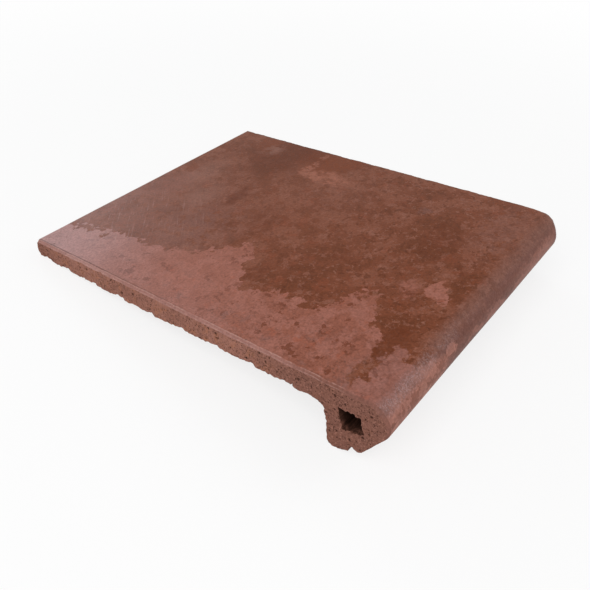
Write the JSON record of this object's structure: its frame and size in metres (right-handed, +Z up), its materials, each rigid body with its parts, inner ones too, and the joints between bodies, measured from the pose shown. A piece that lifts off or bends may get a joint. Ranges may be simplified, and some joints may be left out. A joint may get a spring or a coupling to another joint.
{
  "type": "stair tread tile",
  "caption": "Flat stair tread of extruded fired clay with a rounded hollow nose that hooks over the riser, a drip groove under the nose and a grooved underside that keys into mortar.",
  "frame": {"origin": "middle of the bounding box on the floor that the tread rests on", "axes": "+X along the nose, -Y is the side of the nose, +Y the back edge, +Z up"},
  "size_m": [0.25, 0.3188, 0.0534],
  "materials": {
    "fired_clay": "fired clay, brown with salmon flame marks on the walking face, raw and pitted on the cut ends"
  },
  "bodies": {
    "root": {"stair_tread": "fired_clay"}
  },
  "joints": []
}
